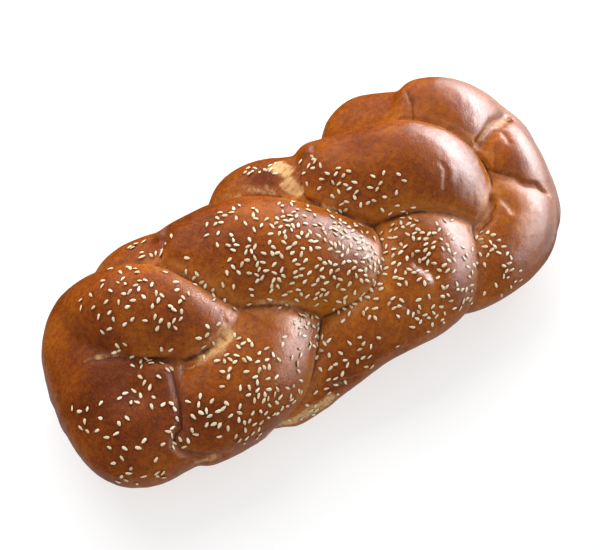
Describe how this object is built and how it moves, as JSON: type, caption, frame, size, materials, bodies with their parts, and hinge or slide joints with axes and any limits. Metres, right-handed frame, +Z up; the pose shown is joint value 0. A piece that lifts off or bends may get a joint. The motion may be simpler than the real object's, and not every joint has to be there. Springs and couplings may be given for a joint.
{
  "type": "challah",
  "caption": "Plaited challah loaf with a glazed brown crust and scattered sesame seeds, whole and uncut, flat underneath.",
  "frame": {"origin": "middle of the loaf's underside, on the tray", "axes": "+X along the loaf from its narrower end to its wider end, +Y to the plait's left side, +Z up"},
  "size_m": [0.3114, 0.1542, 0.0937],
  "materials": {
    "crust": "golden brown egg-glazed bread crust, softly glossy, darker on the bulges and orange in the creases",
    "sesame": "cream to lightly toasted hulled sesame seed"
  },
  "bodies": {
    "root": {"loaf": "crust"}
  },
  "joints": []
}
